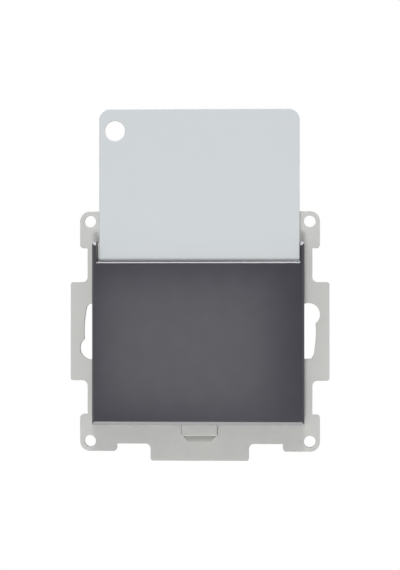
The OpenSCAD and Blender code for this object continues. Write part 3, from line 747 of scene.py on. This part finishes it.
# Name, setting with its watts, place and size; all of them point at the origin
LAMPS = (
    ("key_softbox", "key_light", (0.0215, -0.56, 0.6), (0.06, 0.15)),
    ("left_softbox", "back_light", (-0.4, 0.4, 0.2), (0.3, 0.3)),
    ("right_softbox", "back_light", (0.4, 0.4, 0.2), (0.3, 0.3)),
    ("front_softbox", "front_light", (0.01, -0.56, -0.14), (0.07, 0.06)),
    ("top_softbox", "top_light", (-0.022, -0.005, 0.5), (0.24, 0.16)),
    ("low_softbox", "low_light", (-0.0115, 0.008, -0.28), (0.17, 0.09)),
    ("fill_lamp", "fill_light", (-0.0275, -0.4805, -0.018), (0.094, 0.072)),
)


def point_at(obj, at, target):
    """Puts a camera or lamp at a place and turns it to a target."""
    obj.location = at
    obj.rotation_euler = (Vector(target) - Vector(at)).to_track_quat("-Z", "Y").to_euler()


def softbox(name, watts, at, size):
    """A rectangular soft lamp."""
    data = bpy.data.lights.new(name, "AREA")
    data.shape = "RECTANGLE"
    data.size, data.size_y = size
    data.energy = watts
    point_at(new_object(name, data), at, (0.0, 0.0, 0.0))


def seen_ray(tree):
    """1 for rays from the camera and from gloss and glass, 0 for those that light things."""
    rays = tree.nodes.new("ShaderNodeLightPath")
    result = rays.outputs["Is Camera Ray"]
    for kind in ("Is Glossy Ray", "Is Transmission Ray"):
        either = tree.nodes.new("ShaderNodeMath")
        either.operation = "MAXIMUM"
        tree.links.new(result, either.inputs[0])
        tree.links.new(rays.outputs[kind], either.inputs[1])
        result = either.outputs[0]
    return result


def show_white(tree, share, shader, kind, output):
    """Mixes plain white into a shader, by a share, for the rays that see it."""
    white = tree.nodes.new(kind)
    white.inputs["Color"].default_value = WHITE
    white.inputs["Strength"].default_value = 1.0
    part = tree.nodes.new("ShaderNodeMath")
    part.operation = "MULTIPLY"
    part.inputs[1].default_value = share
    mix = tree.nodes.new("ShaderNodeMixShader")
    tree.links.new(seen_ray(tree), part.inputs[0])
    tree.links.new(part.outputs[0], mix.inputs["Fac"])
    tree.links.new(shader.outputs[0], mix.inputs[1])
    tree.links.new(white.outputs[0], mix.inputs[2])
    tree.links.new(mix.outputs[0], tree.nodes[output].inputs["Surface"])


def white_world(ambient):
    """A white world to look at, and plain ambient light."""
    world = bpy.data.worlds.new("studio")
    bpy.context.scene.world = world
    world.use_nodes = True
    light = world.node_tree.nodes["Background"]
    light.inputs["Color"].default_value = WHITE
    light.inputs["Strength"].default_value = ambient
    show_white(world.node_tree, 1.0, light, "ShaderNodeBackground", "World Output")


def pale_floor(height):
    """A plain pale floor that keeps shadows."""
    rest_mode()
    bpy.ops.mesh.primitive_plane_add(size=FLOOR_SIZE, location=(0.0, 0.0, height))
    floor = settle(added("floor"))
    material = bpy.data.materials.new("floor_paper")
    material.use_nodes = True
    paper = material.node_tree.nodes["Principled BSDF"]
    paper.inputs["Base Color"].default_value = PAPER
    paper.inputs["Roughness"].default_value = PAPER_ROUGHNESS
    show_white(material.node_tree, PAPER_GLOW, paper, "ShaderNodeEmission", "Material Output")
    floor.data.materials.append(material)


class KEYCARD_OT_studio(bpy.types.Operator):
    """Camera, lamps, floor and white surroundings"""
    bl_idname = "keycard.studio"
    bl_label = "Studio"

    def execute(self, context):
        scene = context.scene
        studio = scene.switch_studio
        data = bpy.data.cameras.new("camera")
        data.sensor_width = SENSOR_WIDTH
        data.lens = studio.lens
        data.clip_start = CLIP_START
        data.clip_end = CLIP_END
        scene.camera = new_object("camera", data)
        point_at(scene.camera, studio.camera_place, studio.camera_aim)
        scene.view_settings.view_transform = "Standard"
        white_world(studio.ambient)
        pale_floor(studio.floor_height)
        for name, setting, at, size in LAMPS:
            softbox(name, getattr(studio, setting), at, size)
        return {"FINISHED"}


class KEYCARD_PT_panel(bpy.types.Panel):
    """Lists the pieces and their settings"""
    bl_idname = "KEYCARD_PT_panel"
    bl_label = "Key card switch"
    bl_space_type = "VIEW_3D"
    bl_region_type = "UI"
    bl_category = "Key card switch"

    def draw(self, context):
        for piece in PIECES:
            self.layout.operator(piece.bl_idname)
        for group in GROUPS:
            settings = getattr(context.scene, group)
            for key in settings.__annotations__:
                self.layout.prop(settings, key)


GROUPS = {
    "switch_sizes": SwitchSizes,
    "switch_colours": SwitchColours,
    "switch_studio": StudioSettings,
}
PIECES = (KEYCARD_OT_studio, KEYCARD_OT_plate, KEYCARD_OT_cover, KEYCARD_OT_card,
          KEYCARD_OT_guide, KEYCARD_OT_lever, KEYCARD_OT_base, KEYCARD_OT_contacts,
          KEYCARD_OT_springs, KEYCARD_OT_screws)


def register():
    """Registers the classes and hangs the settings on the scene."""
    for cls in (*GROUPS.values(), *PIECES, KEYCARD_PT_panel):
        bpy.utils.register_class(cls)
    for name, cls in GROUPS.items():
        setattr(bpy.types.Scene, name, PointerProperty(type=cls))


def unregister():
    """Takes the settings and the classes away again."""
    for name in GROUPS:
        delattr(bpy.types.Scene, name)
    for cls in reversed((*GROUPS.values(), *PIECES, KEYCARD_PT_panel)):
        bpy.utils.unregister_class(cls)


def main():
    """Registers the add-on and builds all the pieces and the studio."""
    register()
    for piece in PIECES:
        getattr(bpy.ops.keycard, piece.bl_idname.split(".")[1])()
    rest_mode()


if __name__ == "__main__":
    main()
